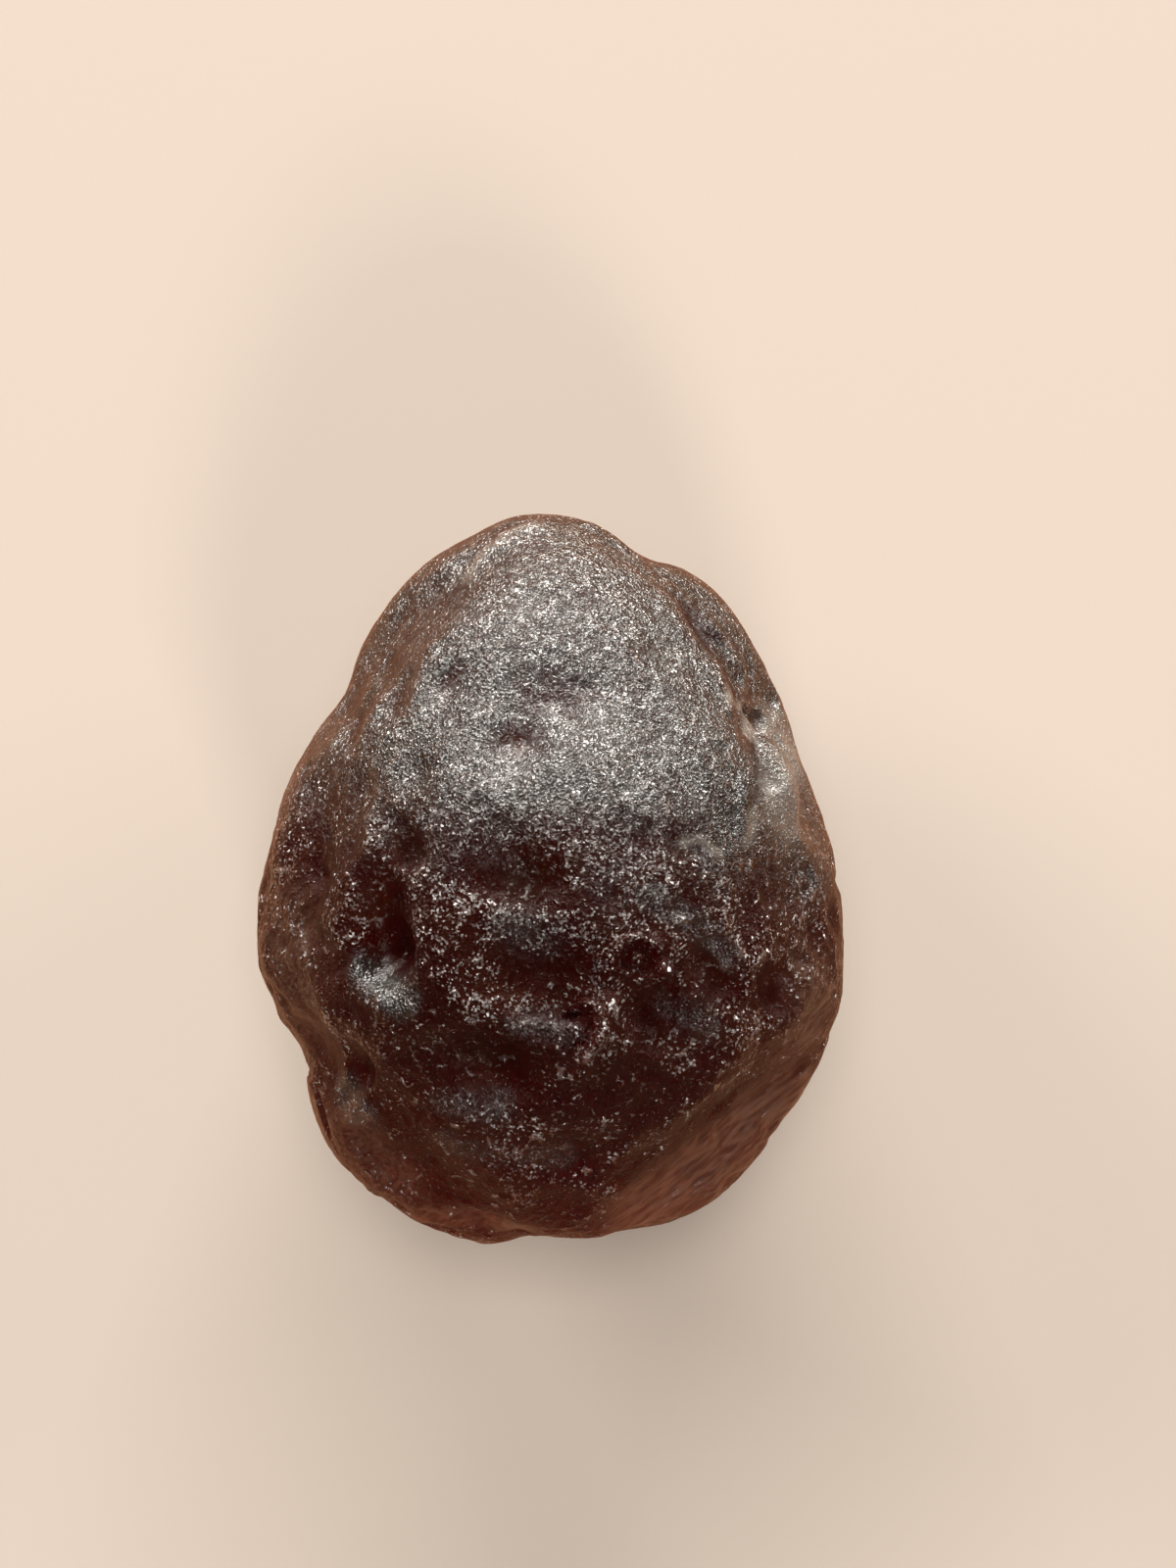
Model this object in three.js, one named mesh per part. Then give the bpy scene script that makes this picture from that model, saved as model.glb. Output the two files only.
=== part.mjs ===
// Tektite: one egg-shaped piece of natural glass, dimpled all over with etched bowls.
//
// Millimetres, +Z up. The stone lies on a small flat spot on its back. +Y runs from its broad end
// to its narrow end. The origin is on the floor, under the middle of the stone's bounding box.
//
// The body is a ball whose widest level follows OUTLINE and whose heights above and below that
// level differ. Bowls are pressed into it, and swells raised on it, square to its surface.

import * as THREE from "three";
import { ImprovedNoise } from "three/addons/math/ImprovedNoise.js";
import { mergeVertices } from "three/addons/utils/BufferGeometryUtils.js";

// ---- Driving dimensions ----

const LENGTH = 27; // over both ends, along Y
const CROWN_HEIGHT = 9.9; // from the widest level up to the crown
const BACK_DEPTH = 8.7; // from the widest level down to the back, before it is flattened
const REST_DEPTH = 8.45; // from the widest level down to the resting spot
const CROWN_SHIFT = new THREE.Vector2(0.3, 0.6); // the crown lies this far from the middle
const FULLNESS = 0.93; // under 1 makes the shoulders fuller than an ellipsoid's
const DETAIL = 21; // splits of each icosahedron edge, for 9,680 triangles

// The widest level seen from above, anticlockwise from the narrow end.
const OUTLINE = [
  [0.3, 13.5], [-1.4, 13.35], [-3.0, 12.6], [-4.75, 11.5], [-6.8, 9.0], [-8.2, 6.25],
  [-9.55, 3.9], [-10.35, 1.2], [-10.85, -1.5], [-10.75, -3.4], [-10.1, -4.9], [-9.05, -6.3],
  [-8.75, -8.1], [-7.9, -10.2], [-6.5, -11.8], [-4.5, -12.8], [-1.9, -13.4], [-0.5, -13.25],
  [1.8, -13.5], [4.6, -12.5], [6.8, -11.05], [8.6, -8.9], [9.85, -6.9], [10.6, -4.8],
  [10.9, -1.9], [10.6, 0.6], [9.95, 2.8], [9.2, 4.8], [8.6, 6.6], [7.7, 8.45],
  [6.6, 10.1], [5.0, 11.5], [4.05, 11.7], [3.15, 12.05], [1.8, 13.05],
];
const OUTLINE_LENGTH = 27; // of OUTLINE as it is drawn
const SOFTENING = 26; // degrees each way that the outline is averaged over, away from that level
const SOFT_FROM = 0.15; // share of the height where the outline starts to soften
const SOFT_BY = 0.75; // share of the height where it is fully soft

// Facets are the broad hollows that break the egg into faces. They meet in soft crests.
// Columns, as for every list here: x and y of the middle, half length, half width,
// turn of the long way in degrees anticlockwise from +X, depth.
const FACETS = [
  [1.4, 6.9, 6.4, 5.2, 10, 0.7], // the broad face below the narrow end
  [8.1, 6.4, 6.4, 2.7, -62, 0.9], // the right shoulder
  [-6.0, 8.7, 5.2, 2.7, 47, 0.8], // the left shoulder
  [-8.4, 1.4, 4.6, 2.4, 78, 0.45], // the left flank
  [6.5, -9.6, 6.4, 3.2, 37, 1.35], // the long scoop at the broad end
  [-5.0, -10.2, 4.6, 2.4, -42, 0.6], // the left of the broad end
  [-8.6, -6.6, 2.5, 1.7, 115, 0.8], // the notch in the left side
  [8.4, -2.6, 4.4, 2.6, -80, 0.45], // the right flank
];

// Bowls in the upper side.
const UPPER_BOWLS = [
  [-0.5, -3.6, 2.5, 2.0, 0, 0.8],
  [-1.2, -0.4, 2.0, 1.7, 20, 0.6],
  [-2.2, -6.8, 2.9, 1.8, -8, 0.7],
  [0.9, -10.0, 2.6, 1.5, 10, 0.4],
  [-5.6, -7.9, 1.7, 1.5, 0, 0.4],
  [-6.1, -1.9, 2.9, 1.7, 98, 0.7],
  [-5.3, 0.9, 1.5, 1.3, 0, 0.45],
  [-7.2, -6.7, 1.9, 1.4, 125, 0.7],
  [-1.1, 4.9, 1.7, 1.35, 0, 0.5],
  [-0.2, 6.6, 2.9, 1.3, 0, 0.45],
  [-7.2, 6.0, 1.5, 0.9, 75, 0.4],
  [-5.6, 6.8, 1.6, 0.85, 75, 0.35],
  [-3.5, 7.0, 1.6, 0.95, 70, 0.4],
  [3.5, -4.8, 2.0, 1.5, -60, 0.55],
  [5.7, -3.3, 2.3, 1.4, -40, 0.5],
  [8.3, -3.7, 1.7, 1.2, 20, 0.4],
  [-8.6, 0.2, 1.8, 1.2, 90, 0.35],
  [-9.1, -3.9, 1.6, 1.1, 120, 0.3],
  [7.3, 5.3, 2.2, 0.95, 95, 0.6], // the valley beside the pale swell
  [5.2, 10.1, 2.6, 0.9, -45, 0.35],
  [-2.5, -12.5, 2.0, 1.3, 0, 0.45],
  [2.6, 1.2, 1.6, 1.2, 0, 0.25],
  [3.4, -8.2, 1.8, 1.2, 30, 0.3],
];

// Swells on the upper side, with a height in place of the depth.
const UPPER_SWELLS = [
  [8.4, 3.9, 2.3, 1.5, 85, 0.75],
  [5.6, 7.9, 3.2, 1.1, 122, 0.3],
  [-3.9, 11.2, 2.0, 0.8, 30, 0.3],
  [2.3, -5.9, 2.2, 0.7, 65, 0.3],
  [-10.0, -2.6, 1.8, 1.3, 80, 0.35],
];

// Facets and bowls on the back and low on the flanks, spread evenly by the golden angle. Levels
// are shares of the height, and shallowness is a mark's radius over its depth.
const BACK_FACETS = { count: 9, first: -0.2, last: -0.8, radii: [3.4, 5.2], shallowness: 7.5 };
const BACK_BOWLS = { count: 38, first: 0.1, last: -0.9, radii: [1.2, 3.3], shallowness: 4.8 };
const BACK_STRETCH = 0.4; // the longest of them is longer than it is wide by this share
const GOLDEN_ANGLE = Math.PI * (3 - Math.sqrt(5));

// How hollows end and meet.
const FACET_EDGE = 1.1; // near 1 cuts a flat face with a crisp edge
const BOWL_EDGE = 1.4; // larger values soften the rim into the skin
const RIDGE_SHARPNESS = 4;

// Low lumps that keep every face from being smooth, and the wander of the hollows' rims. Each
// start is a place in the noise field.
const LUMP_SIZE = 4.2;
const LUMP_HEIGHT = 0.34;
const LUMP_START = 5.5;
const WANDER_SIZE = 2.4;
const WANDER = 0.55;
const WANDER_STARTS = [11.3, 23.7, 37.1];

// The outline stays as it is drawn: facets and lumps are calmed close to its level.
const CALM_BAND = 0.3; // share of the height over which they come back
const CALM_LUMPS = 0.35; // share of the lumps' height that is left at the outline

const noise = new ImprovedNoise();

// ---- Body ----

const FULL_TURN = 360;
const POINTS_PER_DEGREE = 4;

// The radius of the outline for each whole degree of bearing.
function outlineRadii() {
  const grow = LENGTH / OUTLINE_LENGTH;
  const corners = OUTLINE.map(([x, y]) => new THREE.Vector3(x * grow, y * grow, 0));
  const curve = new THREE.CatmullRomCurve3(corners, true);
  const radii = new Array(FULL_TURN).fill(0);
  for (const point of curve.getSpacedPoints(FULL_TURN * POINTS_PER_DEGREE)) {
    const bearing = THREE.MathUtils.radToDeg(Math.atan2(point.y, point.x));
    const degree = Math.round(bearing + FULL_TURN) % FULL_TURN;
    radii[degree] = Math.max(radii[degree], point.length());
  }
  return radii;
}

// The same radii averaged over a window of bearings.
function softened(radii) {
  return radii.map((_, degree) => {
    let sum = 0;
    for (let step = -SOFTENING; step <= SOFTENING; step++) {
      sum += radii[(degree + step + FULL_TURN) % FULL_TURN];
    }
    return sum / (2 * SOFTENING + 1);
  });
}

const sharpRadii = outlineRadii();
const softRadii = softened(sharpRadii);

function readRadius(radii, bearing) {
  const degree = (THREE.MathUtils.radToDeg(bearing) + FULL_TURN) % FULL_TURN;
  const low = Math.floor(degree);
  const next = (low + 1) % FULL_TURN;
  return THREE.MathUtils.lerp(radii[low], radii[next], degree - low);
}

// The body's point for a unit direction, before any bowl.
function bodyPoint(direction) {
  const bearing = Math.atan2(direction.y, direction.x);
  const level = direction.z;
  const soft = THREE.MathUtils.smoothstep(Math.abs(level), SOFT_FROM, SOFT_BY);
  const radius = THREE.MathUtils.lerp(
    readRadius(sharpRadii, bearing),
    readRadius(softRadii, bearing),
    soft,
  );
  const reach = radius * Math.hypot(direction.x, direction.y) ** FULLNESS;
  const height = level > 0 ? CROWN_HEIGHT : BACK_DEPTH;
  const lean = level * Math.abs(level);
  return new THREE.Vector3(
    reach * Math.cos(bearing) + CROWN_SHIFT.x * lean,
    reach * Math.sin(bearing) + CROWN_SHIFT.y * lean,
    height * level,
  );
}

// The way out of the body at one of its points, taken from the ellipsoid that it is nearest to.
function wayOut(point) {
  const height = point.z > 0 ? CROWN_HEIGHT : BACK_DEPTH;
  const width = softRadii[0];
  const half = LENGTH / 2;
  return new THREE.Vector3(
    point.x / width ** 2,
    point.y / half ** 2,
    point.z / height ** 2,
  ).normalize();
}

// ---- Facets, bowls and swells ----

// The direction whose body point lies at x and y on the upper side.
function upperDirection(x, y) {
  const bearing = Math.atan2(y, x);
  const share = Math.min(1, Math.hypot(x, y) / readRadius(softRadii, bearing));
  const across = share ** (1 / FULLNESS);
  return new THREE.Vector3(
    across * Math.cos(bearing),
    across * Math.sin(bearing),
    Math.sqrt(1 - across ** 2),
  );
}

// A mark is a place on the body with its own axes: out, along its long way, and across it.
function makeMark(direction, halfLength, halfWidth, turn, depth) {
  const middle = bodyPoint(direction);
  const out = wayOut(middle);
  const angle = THREE.MathUtils.degToRad(turn);
  const along = new THREE.Vector3(Math.cos(angle), Math.sin(angle), 0);
  along.addScaledVector(out, -along.dot(out)).normalize();
  const across = new THREE.Vector3().crossVectors(out, along);
  return { middle, out, along, across, halfLength, halfWidth, depth };
}

function upperMark([x, y, halfLength, halfWidth, turn, depth]) {
  return makeMark(upperDirection(x, y), halfLength, halfWidth, turn, depth);
}

function spreadMarks({ count, first, last, radii, shallowness }) {
  const marks = [];
  for (let i = 0; i < count; i++) {
    const level = THREE.MathUtils.lerp(first, last, (i + 0.5) / count);
    const across = Math.sqrt(1 - level ** 2);
    const bearing = i * GOLDEN_ANGLE;
    const direction = new THREE.Vector3(
      across * Math.cos(bearing),
      across * Math.sin(bearing),
      level,
    );
    // A second irrational step gives each mark its own size, stretch and turn.
    const pick = (i * Math.SQRT2) % 1;
    const radius = THREE.MathUtils.lerp(...radii, pick ** 2);
    const halfLength = radius * (1 + BACK_STRETCH * pick);
    marks.push(makeMark(direction, halfLength, radius, FULL_TURN * pick, radius / shallowness));
  }
  return marks;
}

const facets = [...FACETS.map(upperMark), ...spreadMarks(BACK_FACETS)];
const bowls = [...UPPER_BOWLS.map(upperMark), ...spreadMarks(BACK_BOWLS)];
const swells = UPPER_SWELLS.map(upperMark);

// How strongly a mark acts at a point: 1 at its middle, falling to 0 at its rim.
function strength(mark, point, edge) {
  const offset = point.clone().sub(mark.middle);
  const along = offset.dot(mark.along) / mark.halfLength;
  const across = offset.dot(mark.across) / mark.halfWidth;
  const deep = offset.dot(mark.out) / mark.halfLength;
  const square = along ** 2 + across ** 2 + deep ** 2;
  return square < 1 ? (1 - square) ** edge : 0;
}

// Overlapping hollows meet in a ridge: the deepest one wins, with its edge a little rounded.
function hollowDepth(marks, point, edge) {
  const sum = marks.reduce((total, mark) => {
    return total + (mark.depth * strength(mark, point, edge)) ** RIDGE_SHARPNESS;
  }, 0);
  return sum ** (1 / RIDGE_SHARPNESS);
}

function swellHeight(point) {
  return swells.reduce((height, mark) => {
    return height + mark.depth * strength(mark, point, BOWL_EDGE);
  }, 0);
}

function noiseAt(point, size, start) {
  return noise.noise(point.x / size + start, point.y / size + start, point.z / size + start);
}

// The point moved a little, so that no rim is a true ellipse.
function wandered(point) {
  const moves = WANDER_STARTS.map((start) => WANDER * noiseAt(point, WANDER_SIZE, start));
  return new THREE.Vector3(...moves).add(point);
}

// ---- The stone ----

// How far the skin stands out of the body at a point.
function relief(point, level) {
  const place = wandered(point);
  const clear = THREE.MathUtils.smoothstep(Math.abs(level), 0, CALM_BAND);
  const lumpHeight = LUMP_HEIGHT * THREE.MathUtils.lerp(CALM_LUMPS, 1, clear);
  const raised = lumpHeight * noiseAt(point, LUMP_SIZE, LUMP_START) + swellHeight(place);
  const faceted = clear * hollowDepth(facets, place, FACET_EDGE);
  return raised - faceted - hollowDepth(bowls, place, BOWL_EDGE);
}

function stoneGeometry() {
  const ball = new THREE.IcosahedronGeometry(1, DETAIL);
  ball.deleteAttribute("normal");
  ball.deleteAttribute("uv");
  const geometry = mergeVertices(ball);
  const places = geometry.attributes.position;
  const direction = new THREE.Vector3();
  for (let i = 0; i < places.count; i++) {
    direction.fromBufferAttribute(places, i).normalize();
    const point = bodyPoint(direction);
    point.addScaledVector(wayOut(point), relief(point, direction.z));
    point.z = Math.max(point.z, -REST_DEPTH);
    places.setXYZ(i, point.x, point.y, point.z);
  }
  geometry.computeBoundingBox();
  const { min, max } = geometry.boundingBox;
  geometry.translate(-(min.x + max.x) / 2, -(min.y + max.y) / 2, -min.z);
  geometry.computeVertexNormals();
  return geometry;
}

const darkGlass = new THREE.MeshStandardMaterial({
  name: "tektite_glass",
  color: 0x2b1c17,
  roughness: 0.45,
  metalness: 0,
});

const tektite = new THREE.Mesh(stoneGeometry(), darkGlass);
tektite.name = "tektite";

const part = new THREE.Group();
part.add(tektite);

export default part;
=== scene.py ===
"""The finished tektite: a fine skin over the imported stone, frosted glass and a plain studio."""

import math

import bmesh
import bpy
import numpy as np
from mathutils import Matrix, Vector, noise
from mathutils.bvhtree import BVHTree
from mathutils.kdtree import KDTree


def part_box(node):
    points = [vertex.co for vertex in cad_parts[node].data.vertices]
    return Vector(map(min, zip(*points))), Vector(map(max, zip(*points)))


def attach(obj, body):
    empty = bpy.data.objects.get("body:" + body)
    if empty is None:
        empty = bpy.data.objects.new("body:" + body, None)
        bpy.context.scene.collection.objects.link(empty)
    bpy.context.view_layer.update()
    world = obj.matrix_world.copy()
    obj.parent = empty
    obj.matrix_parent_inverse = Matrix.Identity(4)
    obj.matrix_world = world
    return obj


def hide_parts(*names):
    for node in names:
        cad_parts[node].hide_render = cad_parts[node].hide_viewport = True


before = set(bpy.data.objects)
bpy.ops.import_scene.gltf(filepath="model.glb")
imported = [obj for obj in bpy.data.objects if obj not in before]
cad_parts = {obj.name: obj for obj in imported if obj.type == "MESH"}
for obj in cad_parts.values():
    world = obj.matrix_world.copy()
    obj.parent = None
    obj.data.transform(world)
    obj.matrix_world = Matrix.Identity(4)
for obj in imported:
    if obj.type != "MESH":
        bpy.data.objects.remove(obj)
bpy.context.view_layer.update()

MM = 0.001

STONE_LOW, STONE_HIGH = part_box("tektite")
LENGTH = STONE_HIGH.y - STONE_LOW.y
MID_HEIGHT = 0.46 * STONE_HIGH.z  # the stone's widest level

# ---- Skin ----

CUTS = 3  # new points on each edge of the CAD mesh
ROUNDING_PASSES = 7
FINE_AREAS = [  # x, y, radius in millimetres of what gets a mesh of half the spacing
    (1.9, -4.3, 3.1),
    (7.2, 5.2, 2.3),
]


def rounded_copy(node):
    """A finer copy of a CAD node's mesh, with its flat triangles rounded off."""
    bm = bmesh.new()
    bm.from_mesh(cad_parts[node].data)
    bmesh.ops.remove_doubles(bm, verts=bm.verts, dist=0.001 * MM)
    bmesh.ops.subdivide_edges(bm, edges=bm.edges, cuts=CUTS, use_grid_fill=True)
    round_off(bm, ROUNDING_PASSES)
    fine = [edge for edge in bm.edges if any(in_fine_area(vert) for vert in edge.verts)]
    bmesh.ops.subdivide_edges(bm, edges=fine, cuts=1, use_grid_fill=True)
    round_off(bm, 1)
    bmesh.ops.triangulate(bm, faces=[face for face in bm.faces if len(face.verts) > 3])
    bmesh.ops.recalc_face_normals(bm, faces=bm.faces)
    return bm


def round_off(bm, passes):
    for _ in range(passes):
        bmesh.ops.smooth_vert(
            bm,
            verts=bm.verts,
            factor=0.5,
            use_axis_x=True,
            use_axis_y=True,
            use_axis_z=True,
        )


def in_fine_area(vert):
    if vert.co.z < MID_HEIGHT:
        return False
    place = vert.co
    return any(
        math.hypot(place.x - x * MM, place.y - y * MM) < radius * MM for x, y, radius in FINE_AREAS
    )


def soft_step(value, low, high):
    """0 below low, 1 above high, smooth between."""
    t = np.clip((value - low) / (high - low), 0, 1)
    return t * t * (3 - 2 * t)


class Skin:
    """The points of a mesh in millimetres, and how far each is to move out along its normal."""

    def __init__(self, bm):
        bm.verts.index_update()
        self.mesh = bm
        self.points = np.array([v.co for v in bm.verts]) / MM
        self.rise = np.zeros(len(self.points))
        self.near = None
        self.wandered = None
        self.settle()
        pairs = np.array([[v.index for v in e.verts] for e in bm.edges])
        self.ends = np.concatenate([pairs, pairs[:, ::-1]]).T
        self.valence = np.bincount(self.ends[0], minlength=len(self.points))
        self.spacing = np.linalg.norm(np.diff(self.points[pairs], axis=1), axis=2).mean()

    def wander(self, size, reach):
        """Moves the points that marks measure from, so that no rim is a true circle."""
        moves = [noise.noise_vector(Vector(p / size)) for p in self.points]
        self.wandered = self.points + reach * np.array(moves)
        self.near = KDTree(len(self.points))
        for i, point in enumerate(self.wandered):
            self.near.insert(point, i)
        self.near.balance()

    def from_above(self, x, y):
        """The point of the upper side at x and y."""
        start = Vector((x * MM, y * MM, 2 * STONE_HIGH.z))
        hit = self.tree.ray_cast(start, Vector((0, 0, -1)))[0]
        return np.array(hit if hit else (x * MM, y * MM, MID_HEIGHT)) / MM

    def distance_to(self, path):
        """Each point's distance to a line through points of the upper side."""
        stops = [self.from_above(x, y) for x, y in path]
        if len(stops) == 1:
            return np.linalg.norm(self.wandered - stops[0], axis=1)
        best = np.full(len(self.points), np.inf)
        for start, end in zip(stops, stops[1:]):
            way = end - start
            share = np.clip((self.wandered - start) @ way / (way @ way), 0, 1)
            gap = np.linalg.norm(self.wandered - start - share[:, None] * way, axis=1)
            best = np.minimum(best, gap)
        return best

    def press(self, path, half_width, depth, softness=1.5):
        """A bowl or groove along a path, softer at its rim where softness is higher."""
        t = np.clip(self.distance_to(path) / half_width, 0, 1)
        self.rise -= depth * (1 - t * t) ** softness

    def lift(self, path, half_width, height):
        """A ridge or bump along a path, or a groove where height is below 0."""
        self.press(path, half_width, -height)

    def lean(self, x, y, half_width, slope):
        """Turns a patch of the upper side towards the narrow end, or away if slope is below 0."""
        offset = self.wandered - self.from_above(x, y)
        t = np.clip(np.linalg.norm(offset, axis=1) / half_width, 0, 1)
        self.rise -= slope * offset[:, 1] * (1 - t * t) ** 2

    def scatter(self, count, radii, shallowness, rng, crowding):
        """Pits with a common spread of sizes, more of them where crowding is high."""
        depth = np.zeros(len(self.points))
        centres = rng.choice(len(self.points), count, p=crowding / crowding.sum())
        for centre in centres:
            radius = radii[0] * (radii[1] / radii[0]) ** (rng.random() ** 2)
            deepest = radius / shallowness * rng.uniform(0.6, 1.2)
            found = self.near.find_range(self.wandered[centre], radius)
            index = np.array([i for _, i, _ in found], int)
            t = np.array([d for _, _, d in found]) / radius
            depth[index] = np.maximum(depth[index], deepest * (1 - t * t) ** 1.4)
        self.rise -= depth

    def patches(self, *layers):
        """Smooth noise in layers, each given by its height and its size in millimetres."""
        return sum(
            height * np.array([noise.noise(Vector(p / size)) for p in self.points])
            for height, size in layers
        )

    def shade(self, marks):
        """From 0 to 1, how close each point lies to the paths of these marks."""
        shade = np.zeros(len(self.points))
        for half_width, strength, path in marks:
            near = 1 - self.distance_to(path) / half_width
            shade = np.maximum(shade, strength * soft_step(near, 0, 0.8))
        return shade

    def height_over(self, size):
        """How far each point stands above the surface smoothed over this size."""
        smooth = self.points.copy()
        steps = int(2 * (size / self.spacing) ** 2)
        for _ in range(steps):
            total = np.zeros_like(smooth)
            for axis in range(3):
                weights = smooth[self.ends[1], axis]
                total[:, axis] = np.bincount(self.ends[0], weights, len(smooth))
            smooth = 0.5 * smooth + 0.5 * total / self.valence[:, None]
        return np.einsum("ij,ij->i", self.points - smooth, self.normals)

    def settle(self):
        """Moves the mesh's points by the rise they have gathered, and finds the new normals."""
        if self.rise.any():
            self.points = self.points + self.normals * self.rise[:, None]
            self.points[:, 2] = np.maximum(self.points[:, 2], 0)
            self.rise[:] = 0
            for vert, place in zip(self.mesh.verts, self.points * MM):
                vert.co = place
        self.mesh.normal_update()
        self.normals = np.array([v.normal for v in self.mesh.verts])
        self.tree = BVHTree.FromBMesh(self.mesh)


def arc(x, y, radius, start=0, end=360):
    """A path along part of a circle, with its angles in degrees from +X."""
    turns = np.radians(np.linspace(start, end, 17))
    return [(x + radius * math.cos(t), y + radius * math.sin(t)) for t in turns]


# Marks on the upper side, in millimetres from the stone's middle.
BOWLS = [  # half width, depth, path
    (1.3, 0.35, [(-5.9, 0.2), (-5.5, -2.4)]),
    (1.1, 0.3, [(-5.6, -2.3)]),
    (1.2, 0.3, [(-6.9, -6.2)]),
    (1.0, 0.3, [(-6.9, -6.8)]),
    (1.2, 0.22, [(-8.5, -1.4), (-8.2, -2.6)]),
    (1.9, 0.34, [(-1.8, -2.8), (0.9, -3.6)]),
    (1.4, 0.22, [(-1.8, 1.0), (-0.5, 0.5)]),
    (1.6, 0.3, [(-4.3, -6.2), (-1.6, -6.6)]),
    (1.4, 0.32, [(3.4, -4.3), (3.9, -4.9)]),
    (1.0, 0.3, [(5.6, -2.6), (6.0, -3.6)]),
    (1.1, 0.3, [(-5.6, 1.9), (-5.1, 1.3)]),
    (0.8, 0.14, [(-7.3, 7.0), (-7.1, 5.2)]),
    (0.8, 0.14, [(-5.9, 8.0), (-5.5, 6.2)]),
    (1.0, 0.1, [(-3.7, 8.0), (-3.8, 6.4)]),
    (0.9, 0.12, [(-1.1, 7.7), (0.4, 7.5)]),
    (1.2, 0.13, [(-1.4, 5.3), (0.2, 5.6)]),
    (1.2, 0.22, [(0.5, -11.4)]),
    (0.8, 0.2, [(-6.8, -9.2), (-5.5, -10.6)]),
    (0.5, 0.18, [(-3.2, -12.0), (-1.8, -12.1)]),
    (0.5, 0.15, [(-4.6, -12.0), (-4.0, -12.3)]),
    (0.6, 0.3, [(7.5, 5.7), (7.6, 3.5)]),
    (0.8, 0.3, [(7.6, -3.2), (8.2, -4.1)]),
    (0.4, 0.35, [(-9.3, -6.6), (-8.8, -7.0), (-8.4, -7.6), (-8.2, -8.4), (-8.0, -9.4)]),
]
PITS = [  # x, y, half width, depth
    (1.0, 11.1, 0.7, 0.08),
    (-0.95, 10.15, 0.55, 0.08),
    (3.65, 9.7, 0.45, 0.06),
    (2.25, 9.3, 0.4, 0.06),
    (-4.45, 8.8, 0.4, 0.07),
    (-4.0, 8.95, 0.35, 0.06),
    (-3.9, 8.15, 0.4, 0.07),
    (-5.5, 9.5, 0.4, 0.06),
    (1.15, 6.95, 0.45, 0.13),
    (5.15, 1.2, 0.45, 0.2),
    (7.15, 5.9, 0.55, 0.4),
    (8.9, -2.8, 0.6, 0.2),
    (-5.4, -0.3, 0.6, 0.2),
]
RIDGES = [  # half width, height, path
    (0.45, 0.28, [(3.9, -3.0), (2.25, -4.3), (1.5, -5.5), (1.15, -6.6)]),
    (0.4, 0.18, [(3.9, -3.0), (5.0, -3.9)]),
    (0.6, 0.12, [(1.5, 12.9), (2.8, 11.9), (3.5, 11.1), (5.0, 10.0), (5.9, 9.1)]),
    (0.6, 0.14, [(5.9, 9.1), (6.6, 8.05), (7.0, 7.15), (6.9, 6.5)]),
    (0.4, 0.12, [(6.8, 6.4), (6.9, 3.5), (6.7, 1.9)]),
    (0.6, 0.14, [(-0.65, 12.8), (-2.1, 12.0), (-3.0, 10.8)]),
    (0.6, 0.2, [(2.25, -11.0), (3.2, -10.1), (4.2, -9.2), (5.9, -8.3), (6.9, -7.5)]),
    (0.22, 0.05, [(4.7, 1.4), (5.3, 1.6), (5.9, 1.1)]),
]
RINGS = [  # half width, height, path: curled rims and the grooves inside them
    (0.4, 0.18, [(0.85, -5.05)]),
    (0.24, -0.35, arc(0.9, -5.05, 0.58, -80, 120)),
    (0.22, 0.2, arc(0.95, -5.05, 0.98, -140, 70)),
    (0.22, 0.14, arc(3.1, -2.5, 0.75, -30, 200)),
    (0.3, -0.2, arc(3.1, -2.5, 0.45)),
    (0.2, -0.14, arc(1.9, -3.2, 0.4, 60, 300)),
    (0.22, -0.16, arc(9.0, 0.0, 0.4, -90, 120)),
]
LEANS = [  # x, y, half width, slope: small facets
    (-5.7, -3.5, 1.5, 0.7),
    (-7.1, -7.9, 1.1, 0.8),
    (-2.4, 9.1, 1.3, -0.15),
    (-1.5, 3.6, 1.3, 0.2),
    (-3.4, 4.6, 1.0, -0.2),
    (-0.1, 5.0, 1.2, -0.1),
    (-3.8, 7.5, 1.1, -0.18),
    (-5.2, 8.2, 1.0, -0.25),
    (0.8, 6.7, 1.2, -0.1),
    (-6.8, 3.2, 1.1, 0.3),
    (-0.6, -1.9, 1.2, 0.3),
    (-0.3, -5.2, 1.1, 0.3),
    (-2.4, -8.2, 1.1, 0.3),
    (5.2, -4.9, 1.0, 0.3),
    (3.5, 1.9, 1.2, -0.2),
    (2.6, 9.6, 1.0, -0.2),
]
PALE = [  # half width, strength, path: altered glass and painted light, the cream standing for light through the thin swell and for highlights on ridge crests
    (2.2, 1.0, [(8.5, 4.9), (8.7, 3.0)]),
    (0.3, 0.8, [(4.7, 1.4), (5.3, 1.6), (5.9, 1.1)]),
    (0.5, 0.5, [(-0.65, 12.8), (-2.1, 12.0), (-3.0, 10.8)]),
    (0.4, 0.9, [(6.3, 6.6), (6.9, 6.2), (7.0, 5.2)]),
    (0.45, 0.8, [(7.2, 2.4), (6.9, 1.6)]),
]
SILK = [  # half width, strength, path: satin walls that face the narrow end, which take the bloom's hazy coat and its painted grey
    (1.1, 1.0, [(-6.4, -3.1), (-5.3, -4.0)]),
    (1.0, 1.0, [(-7.3, -7.4), (-6.9, -8.3)]),
    (1.1, 0.3, [(-1.4, -1.3), (-0.2, -1.7)]),
    (0.9, 0.3, [(-1.0, -4.8), (0.6, -5.1)]),
    (0.9, 0.35, [(-3.6, -7.8), (-1.8, -7.9)]),
    (0.9, 0.4, [(4.6, -4.3), (5.6, -5.0)]),
    (0.8, 0.5, [(3.4, -0.3), (5.2, -1.5), (6.4, -2.5)]),
    (0.8, 0.35, [(-3.6, -9.2), (0.4, -9.6)]),
]
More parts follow.
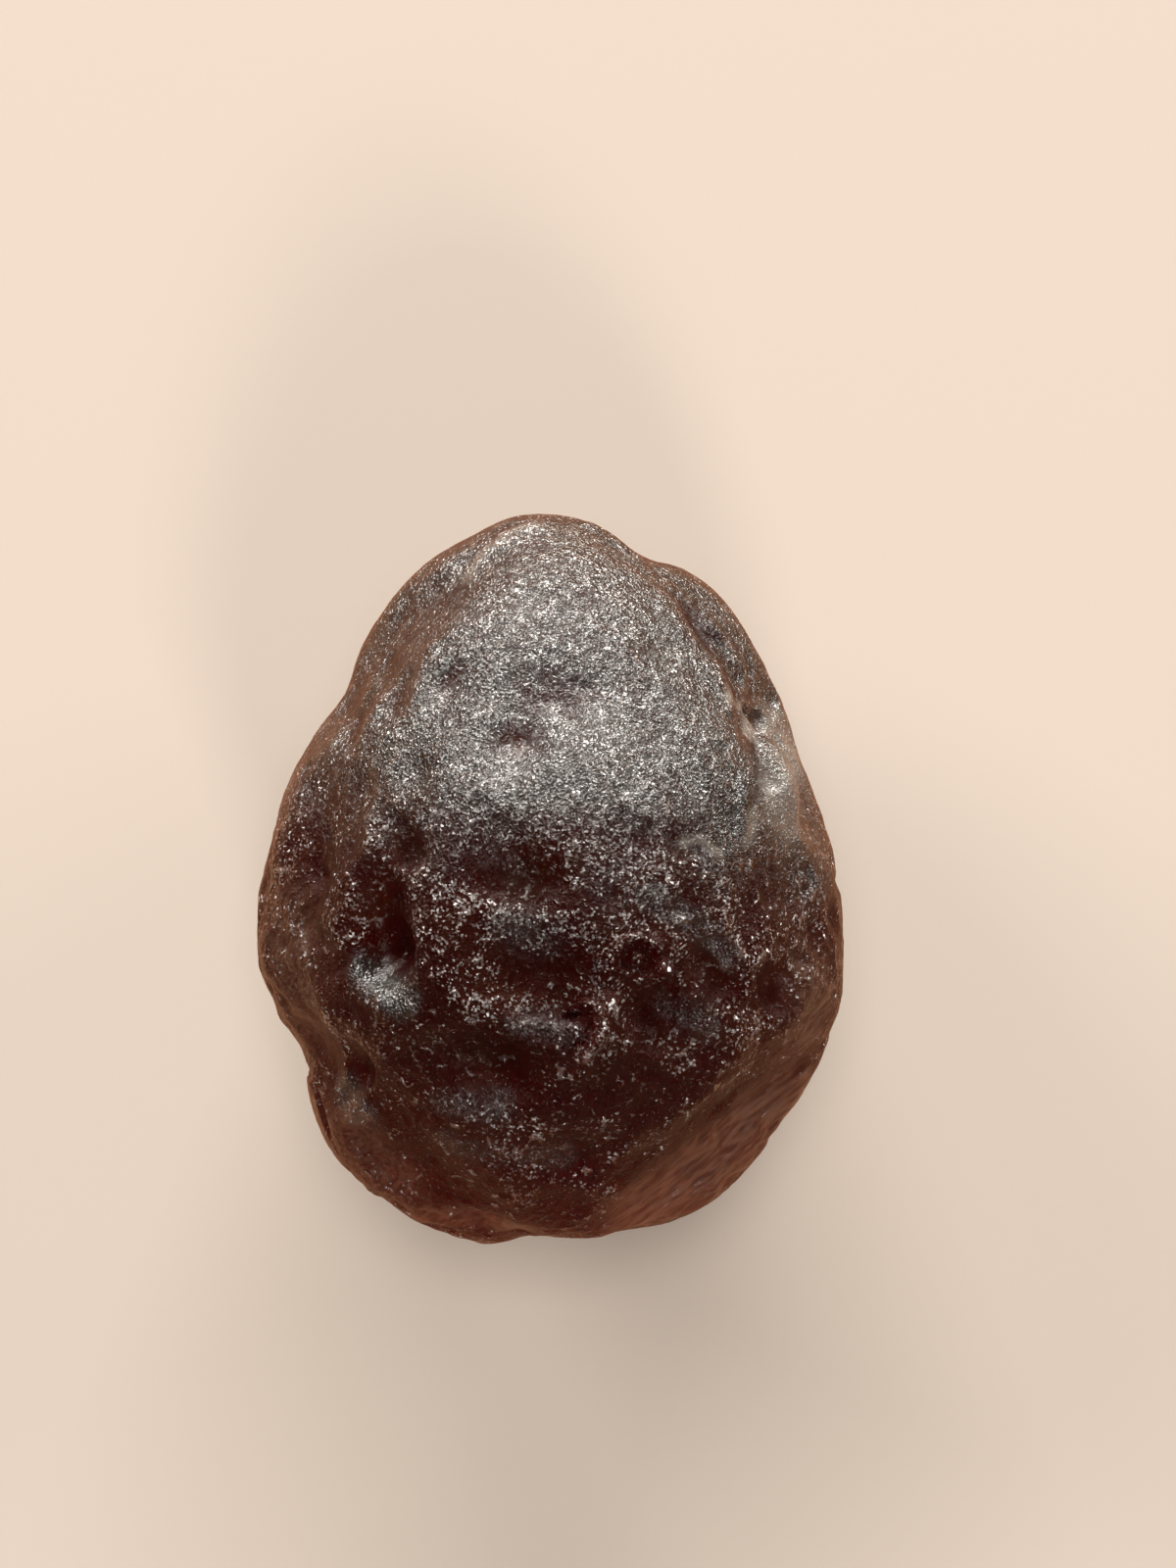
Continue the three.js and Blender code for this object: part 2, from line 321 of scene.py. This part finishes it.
WORN_AND_GLOW = [  # half width, strength, path: smoothed by rubbing, with less sparkle, and painted taupe for light shining through the thin glass
    (2.6, 0.95, [(3.6, -11.8), (6.0, -10.2), (8.4, -8.2)]),
    (1.0, 0.8, [(9.3, -5.6), (10.0, -4.2)]),
    (2.4, 0.35, [(-9.3, -1.5), (-8.9, -5.0)]),
    (2.2, 0.4, [(-7.4, -9.0), (-6.0, -10.6)]),
    (2.0, 0.35, [(9.4, -3.5), (8.8, -6.6)]),
    (1.2, 0.8, [(-8.8, -8.0), (-8.0, -10.0)]),
    (1.0, 0.6, [(-4.6, -12.2), (-1.4, -12.4)]),
]
GLITTER = [  # half width, strength, path: where the frost sparkles most
    (1.5, 1.0, [(-3.2, -0.4), (1.0, -2.0)]),
    (1.5, 0.8, [(-1.5, 1.2), (3.5, 0.7)]),
    (1.0, 1.0, [(1.2, -3.5), (3.6, -1.2)]),
    (0.9, 0.9, [(-0.6, -4.4), (1.9, -5.9)]),
    (1.2, 0.8, [(5.8, 0.1), (7.2, -2.4)]),
    (0.9, 0.8, [(-2.9, -7.8), (-0.1, -8.6)]),
    (1.1, 0.9, [(-1.8, -9.7), (1.3, -10.6)]),
    (1.2, 0.9, [(-9.4, 3.5), (-9.7, -1.0)]),
    (0.9, 0.7, [(-4.1, -2.1), (-2.9, -4.4)]),
    (1.0, 0.6, [(4.6, -6.1), (7.4, -5.0)]),
    (1.3, 1.0, [(-9.2, -3.0), (-7.6, -5.2)]),
    (1.0, 0.7, [(-6.6, -8.6), (-5.0, -9.2)]),
    (1.1, 0.8, [(-7.7, -9.4), (-5.6, -11.0)]),
    (1.2, 0.9, [(9.4, -2.2), (8.8, -6.0)]),
    (0.9, 0.7, [(-0.5, -6.9), (2.2, -8.0)]),
]
SCOOP_LINE = [(2.25, -11.0), (4.2, -9.2), (6.9, -7.5)]
SCOOP_WAY = (0.35, -0.55)  # from each striation in the scoop to the next
SCOOP_GROOVES = 6
SCOOP_GROOVE = (0.24, 0.05)  # half width, depth

SEED = 7
BROAD_WANDER = (2.2, 0.55)  # mm, size and reach of what bends the bowls' rims
FINE_WANDER = (0.9, 0.18)  # mm, the same for the smaller marks
BOWL_SIZE = 1.3  # mm, what a bowl's depth is measured over
HOLLOW_DEPTHS = (-0.08, 0.24)  # mm, where a hollow starts and where it is full
HOLLOW_MOTTLE = [(0.05, 0.8), (0.03, 0.3)]  # mm, height and size
LARGE_PITS = (240, (0.5, 1.2), 5.0)  # count, radii in mm, radius over depth
SMALL_PITS = (1200, (0.25, 0.5), 4.5)
SWELLS = [(0.05, 1.3), (0.02, 0.45)]  # mm, height and size
MOTTLE = [(0.3, 0.7), (0.3, 0.25)]  # strength, size in mm
BLOOM_TURN = 0.15  # how far the bloom's edge turns from straight across the stone
BLOOM_WAVE = (2.0, 3.0)  # mm, reach and size of the waves in that edge
BLOOM_EDGE = (-1.0, 4.5)  # mm along the stone, where the bloom starts and where it is full
BLOOM_FACING = (0.0, 0.5)  # the same, by how far the skin faces up
CREST_SIZE = 0.3  # mm, what a crest's height is measured over
CREST_HEIGHTS = (0.005, 0.05)  # mm, where a crest starts and where it is full
SPARKLE_EDGE = (-9.0, 1.0)  # mm along the stone, where sparkle starts and where it is full
CREST_SHARE, SPARKLE_SHARE, GLITTER_SHARE = 0.45, 0.35, 0.5


def carve_bowls(skin):
    for half_width, depth, path in BOWLS:
        skin.press(path, half_width, depth, softness=1.1)
    for mark in LEANS:
        skin.lean(*mark)
    skin.settle()


def carve_marks(skin):
    for x, y, half_width, depth in PITS:
        skin.press([(x, y)], half_width, depth)
    for half_width, height, path in RIDGES + RINGS:
        skin.lift(path, half_width, height)
    for i in range(SCOOP_GROOVES):
        line = [(x + i * SCOOP_WAY[0], y + i * SCOOP_WAY[1]) for x, y in SCOOP_LINE]
        skin.press(line, *SCOOP_GROOVE)


def find_hollows(skin):
    """From 0 to 1, how deep in a bowl each point lies."""
    depth = -skin.height_over(BOWL_SIZE)
    for layer in HOLLOW_MOTTLE:
        depth += skin.patches(layer)
    return soft_step(depth, *HOLLOW_DEPTHS)


def make_stone():
    """The stone's skin, with where each finish and each patch of painted light lies as attributes
    from 0 to 1.
    """
    bm = rounded_copy("tektite")
    skin = Skin(bm)
    rng = np.random.default_rng(SEED)
    noise.seed_set(SEED)
    skin.wander(*BROAD_WANDER)
    carve_bowls(skin)
    hollow = find_hollows(skin)
    skin.wander(*FINE_WANDER)
    carve_marks(skin)
    # The bloom lies on upward faces towards the narrow end, where the back softbox's sheen falls:
    # a real hazy coat there, and under it a painted grey.
    along = skin.points[:, 1] + BLOOM_TURN * skin.points[:, 0] + skin.patches(BLOOM_WAVE)
    bloom_and_sheen = soft_step(along, *BLOOM_EDGE)
    crowding = (1.1 - hollow) * (1 - 0.85 * bloom_and_sheen)  # few in the bowls and under the bloom
    skin.scatter(*LARGE_PITS, rng, crowding)
    skin.scatter(*SMALL_PITS, rng, crowding ** 2)
    skin.rise += skin.patches(*SWELLS)

    mottle = skin.patches(*MOTTLE)
    # Pale and worn also carry painted glow, from light through thin glass, and silk joins the
    # bloom's painted grey.
    shades = (skin.shade(marks) for marks in (PALE, SILK, WORN_AND_GLOW))
    pale, silk, worn_and_glow = (np.clip(shade + shade * mottle, 0, 1) for shade in shades)
    skin.settle()
    bloom_and_sheen *= np.clip(0.95 + mottle - 0.7 * hollow, 0, 1)
    bloom_and_sheen *= soft_step(skin.normals[:, 2], *BLOOM_FACING)
    crests = soft_step(skin.height_over(CREST_SIZE), *CREST_HEIGHTS)
    sparkle = soft_step(along, *SPARKLE_EDGE)
    glitter = CREST_SHARE * crests + SPARKLE_SHARE * sparkle
    glitter += GLITTER_SHARE * skin.shade(GLITTER)
    # Real finishes, together with the painted glow and painted grey that the pale, worn and bloom
    # masks carry.
    finish_and_light_masks = {
        "hollow": hollow * (1 - pale),
        "pale": pale,
        "bloom_and_sheen": np.maximum(bloom_and_sheen, silk),
        "worn_and_glow": worn_and_glow,
        "glitter": glitter * (1 - 0.6 * hollow),
    }

    mesh = bpy.data.meshes.new("frosted_stone")
    bm.to_mesh(mesh)
    bm.free()
    mesh.polygons.foreach_set("use_smooth", [True] * len(mesh.polygons))
    for name, values in finish_and_light_masks.items():
        mesh.attributes.new(name, "FLOAT", "POINT").data.foreach_set("value", values)
    stone = bpy.data.objects.new("frosted_stone", mesh)
    bpy.context.scene.collection.objects.link(stone)
    return stone


# ---- Glass ----


def per_mm(size):
    """A texture's scale for a pattern of this size in millimetres."""
    return 1 / (size * MM)


def add(tree, kind, place, inputs=None, **settings):
    """A node with its place on the sheet, its settings and its unlinked values."""
    node = tree.nodes.new(kind)
    node.location = (place[0] * 200, place[1] * -180)
    for name, value in settings.items():
        setattr(node, name, value)
    for name, value in (inputs or {}).items():
        node.inputs[name].default_value = value
    return node


def mix_colors(tree, place, factor, first, second):
    node = add(tree, "ShaderNodeMix", place, data_type="RGBA")
    tree.links.new(factor, node.inputs[0])
    for socket, value in ((node.inputs[6], first), (node.inputs[7], second)):
        if isinstance(value, tuple):
            socket.default_value = value
        else:
            tree.links.new(value, socket)
    return node.outputs[2]


def mix_values(tree, place, factor, first, second):
    node = add(tree, "ShaderNodeMix", place, data_type="FLOAT")
    for socket, value in zip(node.inputs, (factor, None, first, second)):
        if value is not None:
            tree.links.new(value, socket)
    return node.outputs[0]


def remap(tree, place, value, low, high, start=0.0, end=1.0):
    """The value, which runs from start to end, spread from low to high."""
    limits = {"From Min": start, "From Max": end, "To Min": low, "To Max": high}
    node = add(tree, "ShaderNodeMapRange", place, limits)
    tree.links.new(value, node.inputs["Value"])
    return node.outputs["Result"]


def math_node(tree, place, operation, first, second):
    node = add(tree, "ShaderNodeMath", place, operation=operation)
    for socket, value in zip(node.inputs, (first, second)):
        if isinstance(value, (int, float)):
            socket.default_value = value
        else:
            tree.links.new(value, socket)
    return node.outputs["Value"]


CUP_SIZES = (0.1, 0.32)  # mm across the etched cups
CUP_POWER = 3.0  # higher gives flatter cups with steeper walls
CUP_SLOPE = 0.5
LARGE_CUPS = (0.6, 0.15)  # their share of the relief, outside the bloom and under it
BEND_SIZE = 0.5  # mm, of the noise that bends the cups' rims
BEND_REACH = 0.1  # mm
GRAIN_SIZE = 0.07  # mm
GRAIN_SHARE = 0.25
STREAK_WIDTH, STREAK_LENGTH = 0.18, 1.2  # mm
STREAK_TURN = math.radians(36)  # of the scoop, from +X
FLAKE_SIZE = 0.09  # mm
FLAKE_TILT = 0.6
ETCHED_HOLLOWS = 0.35  # how much etching is left in the bowls
BLOOM_RELIEF = 1.1  # the relief under the bloom, against 1 outside it
BLOOM_TILT = 0.5  # the same, of the flakes


def bent_coordinates(tree):
    """Object coordinates bent a little, so that no pattern on them has straight edges."""
    link = tree.links.new
    coords = add(tree, "ShaderNodeTexCoord", (0, 5))
    bend = add(tree, "ShaderNodeTexNoise", (1, 5), {"Scale": per_mm(BEND_SIZE), "Detail": 0.0})
    centred = add(tree, "ShaderNodeVectorMath", (2, 5), {1: (0.5,) * 3}, operation="SUBTRACT")
    small = add(
        tree, "ShaderNodeVectorMath", (3, 5), {"Scale": BEND_REACH * MM}, operation="SCALE"
    )
    bent = add(tree, "ShaderNodeVectorMath", (4, 5), operation="ADD")
    link(coords.outputs["Object"], bend.inputs["Vector"])
    link(bend.outputs["Color"], centred.inputs[0])
    link(centred.outputs["Vector"], small.inputs[0])
    link(coords.outputs["Object"], bent.inputs[0])
    link(small.outputs["Vector"], bent.inputs[1])
    return bent.outputs["Vector"]


def etched_cups(tree, coords, shares):
    """How high each point of the etching is, and how close it is to a rim between cups."""
    link = tree.links.new
    grain = add(tree, "ShaderNodeTexNoise", (5, 8), {"Scale": per_mm(GRAIN_SIZE), "Detail": 1.0})
    link(coords, grain.inputs["Vector"])
    grain_height = GRAIN_SHARE * GRAIN_SIZE * MM
    height = math_node(tree, (6, 8), "MULTIPLY", grain.outputs["Fac"], grain_height)
    rims = []
    for row, (size, share) in enumerate(zip(CUP_SIZES, shares), start=6):
        cells = add(tree, "ShaderNodeTexVoronoi", (5, row), {"Scale": per_mm(size)})
        link(coords, cells.inputs["Vector"])
        rims.append(math_node(tree, (6, row), "POWER", cells.outputs["Distance"], CUP_POWER))
        sized = math_node(tree, (7, row), "MULTIPLY", rims[-1], size * MM)
        sized = math_node(tree, (8, row), "MULTIPLY", sized, share)
        height = math_node(tree, (9, row), "ADD", height, sized)
    return height, math_node(tree, (10, 7), "MAXIMUM", *rims)


def rubbed_streaks(tree, coords):
    """Fine streaks along the scoop: how high each point is."""
    turn = (0, 0, STREAK_TURN)
    turned = add(tree, "ShaderNodeMapping", (6, 12), {"Rotation": turn}, vector_type="TEXTURE")
    stretch = (STREAK_WIDTH / STREAK_LENGTH, 1, 1)
    stretched = add(tree, "ShaderNodeVectorMath", (7, 12), {1: stretch}, operation="MULTIPLY")
    scale = {"Scale": per_mm(STREAK_WIDTH), "Detail": 1.0}
    lines = add(tree, "ShaderNodeTexNoise", (8, 12), scale)
    tree.links.new(coords, turned.inputs["Vector"])
    tree.links.new(turned.outputs["Vector"], stretched.inputs[0])
    tree.links.new(stretched.outputs["Vector"], lines.inputs["Vector"])
    return math_node(tree, (9, 12), "MULTIPLY", lines.outputs["Fac"], STREAK_WIDTH * MM)


def bumped(tree, place, height, amount):
    """The normal of a surface with this relief, as strong as amount says."""
    scaled = math_node(tree, place, "MULTIPLY", height, amount)
    bump = add(tree, "ShaderNodeBump", (place[0] + 1, place[1]), {"Distance": CUP_SLOPE})
    tree.links.new(scaled, bump.inputs["Height"])
    return bump.outputs["Normal"]


def scattered_flakes(tree, coords, normal, amount):
    """A random number for each tiny flake, and the normal leant its own way in each."""
    link = tree.links.new
    flakes = add(tree, "ShaderNodeTexVoronoi", (5, 9), {"Scale": per_mm(FLAKE_SIZE)})
    middle = add(tree, "ShaderNodeVectorMath", (6, 9), {1: (0.5,) * 3}, operation="SUBTRACT")
    size = add(tree, "ShaderNodeVectorMath", (7, 10), operation="LENGTH")
    tilt = add(tree, "ShaderNodeVectorMath", (10, 9), operation="SCALE")
    tilted = add(tree, "ShaderNodeVectorMath", (11, 9), operation="ADD")
    unit = add(tree, "ShaderNodeVectorMath", (12, 9), operation="NORMALIZE")
    split = add(tree, "ShaderNodeSeparateXYZ", (7, 11))
    link(coords, flakes.inputs["Vector"])
    link(flakes.outputs["Color"], middle.inputs[0])
    link(flakes.outputs["Color"], split.inputs["Vector"])
    link(middle.outputs["Vector"], size.inputs[0])
    steep = math_node(tree, (8, 10), "MULTIPLY", size.outputs["Value"], 4 * FLAKE_TILT)
    steep = math_node(tree, (9, 10), "MULTIPLY", steep, amount)
    link(middle.outputs["Vector"], tilt.inputs[0])
    link(steep, tilt.inputs["Scale"])
    link(normal, tilted.inputs[0])
    link(tilt.outputs["Vector"], tilted.inputs[1])
    link(tilted.outputs["Vector"], unit.inputs[0])
    return split.outputs["Z"], unit.outputs["Vector"]


CLOUD_SIZE = 1.6  # mm
CLOUDS = (0.42, 0.58)  # their noise, where they are thin and where they are dense
GLITTER_GAIN = 0.35
GLINT_CHANCES = (0.97, 1.13)  # a flake with a higher number shines, in dense and thin clouds
RIM_GAINS = (0.85, 1.12)  # how far the rims stand out, in thin and dense clouds
RIM_EDGE = (0.5, 0.64)  # where a rim starts to shine and where it shines fully
HAZE_DEPTH, HAZE_RIM = 0.14, 0.42  # the bloom's strength in a cup, and where it is full
WORN_GLOSS = 0.06
PALE_GLOSS = 0.4
EDGE_GLOSS, EDGE_BLEND = 0.1, 0.3


def frost(tree, finish_and_light_masks, clouds, rims, chance, etched):
    """Where the coat that stands for the frost lies, and the part of it that glints."""
    bloom_and_sheen, worn_and_glow, pale, glitter = (
        finish_and_light_masks[name] for name in ("bloom_and_sheen", "worn_and_glow", "pale", "glitter")
    )
    hazy = remap(tree, (9, 2), rims, HAZE_DEPTH, 1.0, end=HAZE_RIM)
    haze = math_node(tree, (10, 2), "MULTIPLY", bloom_and_sheen, hazy)
    for row, (finish, gloss) in enumerate(((worn_and_glow, WORN_GLOSS), (pale, PALE_GLOSS)), start=2):
        glossy = math_node(tree, (10, row + 1), "MULTIPLY", finish, gloss)
        haze = math_node(tree, (11, row), "MAXIMUM", haze, glossy)
    edge = add(tree, "ShaderNodeLayerWeight", (11, 1), {"Blend": EDGE_BLEND})
    edge = math_node(tree, (12, 1), "MULTIPLY", edge.outputs["Facing"], EDGE_GLOSS)
    haze = math_node(tree, (12, 2), "ADD", haze, edge)

    rarity = remap(tree, (9, 5), clouds, *GLINT_CHANCES, start=CLOUDS[1], end=CLOUDS[0])
    luck = math_node(tree, (8, 6), "MULTIPLY", glitter, GLITTER_GAIN)
    luck = math_node(tree, (9, 6), "ADD", chance, luck)
    glint = math_node(tree, (10, 6), "GREATER_THAN", luck, rarity)
    gain = remap(tree, (8, 4), clouds, *RIM_GAINS, start=CLOUDS[0], end=CLOUDS[1])
    rim = math_node(tree, (8, 5), "MULTIPLY", rims, gain)
    rim = remap(tree, (9, 4), rim, 0.0, 1.0, start=RIM_EDGE[0], end=RIM_EDGE[1])
    glint = math_node(tree, (10, 5), "MAXIMUM", glint, rim)
    glint = math_node(tree, (11, 5), "MULTIPLY", glint, etched)
    return math_node(tree, (13, 2), "MAXIMUM", haze, glint), glint


WINE = (0.11, 0.007, 0.004, 1)  # most of the glass
AMBER = (0.14, 0.027, 0.009, 1)  # browner clouds in it
AMBER_EDGE = (0.4, 0.65)  # the clouds' noise, where amber starts and where it is full
SHEEN_SLATE = (0.05, 0.05, 0.038, 1)  # painted grey where the sheen falls, in place of the lit wine under the hazy bloom
GLOW_TAUPE = (0.74, 0.44, 0.28, 1)  # painted glow of light shining through thin glass, where it is smoothed by rubbing
RUBBED_GLOW = (0.4, 1.2)  # strength of the painted taupe glow in the streaks' grooves and on their ridges
STREAK_RANGE = (0.35, 0.65)  # the streaks' noise in grooves and on ridges
GLOW_CREAM = (1.0, 0.93, 0.8, 1)  # painted glow of light through the thin pale swell and highlights on ridge crests, partly altered glass
FROST_AND_GLINT = (0.95, 0.66, 0.56, 1)  # its scattering specks, partly a painted glint where the coat glints
FROST_AND_GLINT_SHARE = 0.4
GLASS = {
    "IOR": 1.5,
    "Transmission Weight": 0.9,
    "Roughness": 0.3,
    "Specular Tint": (0.1, 0.06, 0.05, 1),
    "Coat Roughness": 0.3,
    "Coat IOR": 2.0,
}
INSIDE = {"Color": (0.64, 0.27, 0.07, 1), "Density": 210}


def glass_color(tree, finish_and_light_masks, clouds, streaks, glint):
    amber = remap(tree, (11, -1), clouds, 0.0, 1.0, start=AMBER_EDGE[0], end=AMBER_EDGE[1])
    body = mix_colors(tree, (12, 0), amber, WINE, AMBER)
    # Painted sheen: where the sheen falls, the body turns grey in place of the lit wine.
    body = mix_colors(tree, (12, 1), finish_and_light_masks["bloom_and_sheen"], body, SHEEN_SLATE)
    # Painted glow: taupe for light through the thin, smoothed glass, stronger on the streaks'
    # ridges.
    ridge = math_node(tree, (12, 5), "MULTIPLY", streaks, per_mm(STREAK_WIDTH))
    rubbed_glow = remap(tree, (13, 5), ridge, *RUBBED_GLOW, start=STREAK_RANGE[0], end=STREAK_RANGE[1])
    rubbed_glow = math_node(tree, (14, 5), "MULTIPLY", finish_and_light_masks["worn_and_glow"], rubbed_glow)
    body = mix_colors(tree, (13, 1), rubbed_glow, body, GLOW_TAUPE)
    # Painted glow and highlights: cream on the thin swell and along ridge crests, partly altered
    # glass.
    body = mix_colors(tree, (13, 0), finish_and_light_masks["pale"], body, GLOW_CREAM)
    # Painted glint: pale specks mixed in where the coat glints, partly real scattering frost.
    share = remap(tree, (13, 4), finish_and_light_masks["bloom_and_sheen"], FROST_AND_GLINT_SHARE, 0.0)
    frost_and_glint_mix = math_node(tree, (13, 3), "MULTIPLY", glint, share)
    return mix_colors(tree, (14, 1), frost_and_glint_mix, body, FROST_AND_GLINT)


def make_glass():
    material = bpy.data.materials.new("tektite_glass")
    material.use_nodes = True
    tree = material.node_tree
    tree.nodes.clear()
    link = tree.links.new
    output = add(tree, "ShaderNodeOutputMaterial", (16, 0))
    shader = add(tree, "ShaderNodeBsdfPrincipled", (14, 0), GLASS)
    inside = add(tree, "ShaderNodeVolumeAbsorption", (14, 6), INSIDE)
    link(shader.outputs["BSDF"], output.inputs["Surface"])
    link(inside.outputs["Volume"], output.inputs["Volume"])

    finish_and_light_masks = {
        name: add(tree, "ShaderNodeAttribute", (0, row), attribute_name=name).outputs["Fac"]
        for row, name in enumerate(("hollow", "pale", "bloom_and_sheen", "worn_and_glow", "glitter"))
    }
    bloom_and_sheen, worn_and_glow = finish_and_light_masks["bloom_and_sheen"], finish_and_light_masks["worn_and_glow"]
    etched = remap(tree, (1, 0), finish_and_light_masks["hollow"], 1.0, ETCHED_HOLLOWS)
    unworn = remap(tree, (1, 3), worn_and_glow, 1.0, 0.0)
    etched = math_node(tree, (2, 0), "MULTIPLY", etched, unworn)
    coords = bent_coordinates(tree)
    height, rims = etched_cups(tree, coords, (1.0, remap(tree, (2, 2), bloom_and_sheen, *LARGE_CUPS)))
    streaks = rubbed_streaks(tree, coords)
    height = mix_values(tree, (9, 6), worn_and_glow, height, streaks)
    strength = remap(tree, (1, 1), bloom_and_sheen, 1.0, BLOOM_RELIEF)
    relief = math_node(tree, (2, 1), "MULTIPLY", etched, strength)
    relief = math_node(tree, (3, 1), "MAXIMUM", relief, worn_and_glow)
    relief = math_node(tree, (4, 1), "MAXIMUM", relief, finish_and_light_masks["pale"])
    frosted = bumped(tree, (10, 6), height, relief)
    tilt = math_node(tree, (3, 2), "MULTIPLY", etched, remap(tree, (2, 3), bloom_and_sheen, 1.0, BLOOM_TILT))
    chance, leant = scattered_flakes(tree, coords, frosted, tilt)
    link(frosted, shader.inputs["Normal"])
    link(leant, shader.inputs["Coat Normal"])

    scale = {"Scale": per_mm(CLOUD_SIZE), "Detail": 2.0}
    clouds = add(tree, "ShaderNodeTexNoise", (10, -1), scale)
    link(coords, clouds.inputs["Vector"])
    clouds = clouds.outputs["Fac"]
    weight, glint = frost(tree, finish_and_light_masks, clouds, rims, chance, etched)
    link(weight, shader.inputs["Coat Weight"])
    link(glass_color(tree, finish_and_light_masks, clouds, streaks, glint), shader.inputs["Base Color"])
    return material


# ---- Studio ----

CAMERA_DISTANCE = 160 * MM  # from the stone's widest level
FRAME_PIXELS, STONE_PIXELS = 1600, 744.5  # height of the frame, and of the stone in it
FRAME_HEIGHT = LENGTH * FRAME_PIXELS / STONE_PIXELS
AIM = (1.34 * MM, 3.52 * MM)  # the frame's middle, from the stone's
SENSOR = 36  # mm, along the frame's height

LIGHT_DISTANCE = 1.2
SOFTBOXES = {  # tilt from straight above, turn from the narrow end, width, height, radiance
    "back_softbox": (76, 0, 0.9, 0.6, 25),
    "right_softbox": (75, 58, 0.5, 0.5, 11),
    "left_softbox": (66, -52, 0.5, 0.5, 13),
    "top_softbox": (8, 0, 0.45, 0.45, 12),
    "front_softbox": (-50, -15, 0.28, 0.28, 25),
}
DAYLIGHT = (1.0, 0.97, 0.91)
FILL = (0.1, 0.1, 0.1, 1)  # what the world sends into the stone
BACKDROP = (0.8, 0.74, 0.67, 1)  # what the eye sees of it
PAPER = (0.45, 0.38, 0.33, 1)
GLOW = (0.38, 0.18, 0.1, 1)  # warmer light that the paper sends into the stone
FLOOR_REACH = 0.45
FLOOR_DROP = 0.02 * MM


def make_camera():
    data = bpy.data.cameras.new("camera")
    data.sensor_width = SENSOR
    data.lens = SENSOR * CAMERA_DISTANCE / FRAME_HEIGHT
    data.clip_start = 1 * MM
    camera = bpy.data.objects.new("camera", data)
    camera.location = (*AIM, MID_HEIGHT + CAMERA_DISTANCE)
    bpy.context.scene.collection.objects.link(camera)
    bpy.context.scene.camera = camera


def make_softbox(name, tilt, side, width, height, radiance):
    data = bpy.data.lights.new(name, "AREA")
    data.shape = "RECTANGLE"
    data.size = width
    data.size_y = height
    data.energy = radiance * math.pi * width * height
    data.color = DAYLIGHT
    light = bpy.data.objects.new(name, data)
    tilt, side = math.radians(tilt), math.radians(side)
    out = math.sin(tilt)
    way = Vector((out * math.sin(side), out * math.cos(side), math.cos(tilt)))
    light.location = way * LIGHT_DISTANCE + Vector((0, 0, MID_HEIGHT))
    light.rotation_euler = way.to_track_quat("Z", "Y").to_euler()
    light.visible_camera = False
    bpy.context.scene.collection.objects.link(light)


def seen_or_lit(tree, lit, seen):
    """One colour for the camera and another for the light that reaches the stone."""
    camera_ray = add(tree, "ShaderNodeLightPath", (-3, 0)).outputs["Is Camera Ray"]
    return mix_colors(tree, (-2, 0), camera_ray, lit, seen)


def make_world():
    """A pale backdrop for the eye, that lights the stone only a little."""
    world = bpy.data.worlds.new("studio")
    world.use_nodes = True
    tree = world.node_tree
    background = tree.nodes["Background"]
    tree.links.new(seen_or_lit(tree, FILL, BACKDROP), background.inputs["Color"])
    bpy.context.scene.world = world


def make_floor():
    bm = bmesh.new()
    bmesh.ops.create_grid(bm, x_segments=1, y_segments=1, size=FLOOR_REACH)
    bmesh.ops.translate(bm, verts=bm.verts, vec=(0, 0, -FLOOR_DROP))
    mesh = bpy.data.meshes.new("floor")
    bm.to_mesh(mesh)
    bm.free()
    floor = bpy.data.objects.new("floor", mesh)
    bpy.context.scene.collection.objects.link(floor)
    paper = bpy.data.materials.new("pale_paper")
    paper.use_nodes = True
    tree = paper.node_tree
    shader = tree.nodes["Principled BSDF"]
    tree.links.new(seen_or_lit(tree, GLOW, PAPER), shader.inputs["Base Color"])
    shader.inputs["Roughness"].default_value = 0.9
    shader.inputs["Specular IOR Level"].default_value = 0.0
    mesh.materials.append(paper)


make_camera()
for name, values in SOFTBOXES.items():
    make_softbox(name, *values)
make_world()
make_floor()
bpy.context.scene.view_settings.view_transform = "Standard"

stone = make_stone()
stone.data.materials.append(make_glass())
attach(stone, "root")
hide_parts("tektite")
